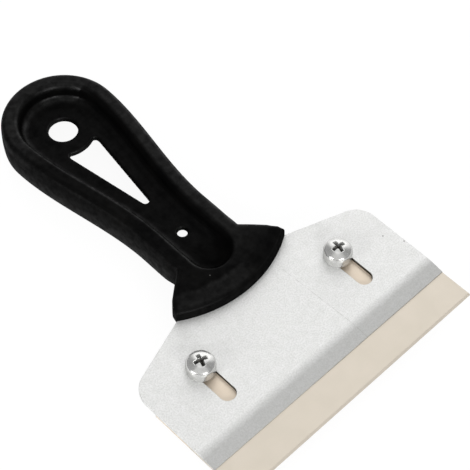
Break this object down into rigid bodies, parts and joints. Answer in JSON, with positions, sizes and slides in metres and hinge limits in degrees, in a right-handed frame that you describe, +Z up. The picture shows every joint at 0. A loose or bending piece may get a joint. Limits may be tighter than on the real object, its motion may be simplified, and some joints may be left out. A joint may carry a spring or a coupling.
{
  "type": "window scraper",
  "caption": "Flat hand scraper with a moulded handle and a slotted sheet metal holder that clamps a wide straight blade, which slides forward when the screws are loosened.",
  "frame": {"origin": "on the ground plane under the middle of the tool's box, with the tool lying flat on its nuts", "axes": "+Y from the blade towards the handle's round end, +Z up out of the slotted face, +X towards the right screw"},
  "size_m": [0.1, 0.1588, 0.0166],
  "materials": {
    "handle_plastic": "satin moulded",
    "plate_steel": "zinc plated, fine scratches",
    "blade_steel": "smooth, cream tone",
    "fastener_zinc": "bright zinc"
  },
  "bodies": {
    "tool_body": {"handle": "handle_plastic", "holder_plate": "plate_steel"},
    "blade_carriage": {"blade": "blade_steel", "lock_washer_right": "fastener_zinc", "lock_washer_left": "fastener_zinc"},
    "right_screw": {"screw_right": "fastener_zinc"},
    "left_screw": {"screw_left": "fastener_zinc"},
    "right_nut": {"nut_right": "fastener_zinc", "plain_washer_right": "fastener_zinc"},
    "left_nut": {"nut_left": "fastener_zinc", "plain_washer_left": "fastener_zinc"}
  },
  "joints": [
    {"name": "blade_slide", "type": "slide", "parent": "tool_body", "child": "blade_carriage", "axis": [0, -1, 0], "range_m": [0, 0.0115]},
    {"name": "right_screw_turn", "type": "hinge", "parent": "blade_carriage", "child": "right_screw", "pos_m": [0.02975, -0.04085, 0.01], "axis": [0, 0, 1], "range_deg": [0, 720]},
    {"name": "left_screw_turn", "type": "hinge", "parent": "blade_carriage", "child": "left_screw", "pos_m": [-0.03005, -0.04085, 0.01], "axis": [0, 0, 1], "range_deg": [0, 720]},
    {"name": "right_nut_drop", "type": "slide", "parent": "blade_carriage", "child": "right_nut", "axis": [0, 0, -1], "range_m": [0, 0.0016]},
    {"name": "left_nut_drop", "type": "slide", "parent": "blade_carriage", "child": "left_nut", "axis": [0, 0, -1], "range_m": [0, 0.0016]}
  ],
  "couplings": [
    {"joint": "right_screw_turn", "follows": "right_nut_drop", "rad_per_m": 7854},
    {"joint": "left_screw_turn", "follows": "left_nut_drop", "rad_per_m": 7854}
  ]
}
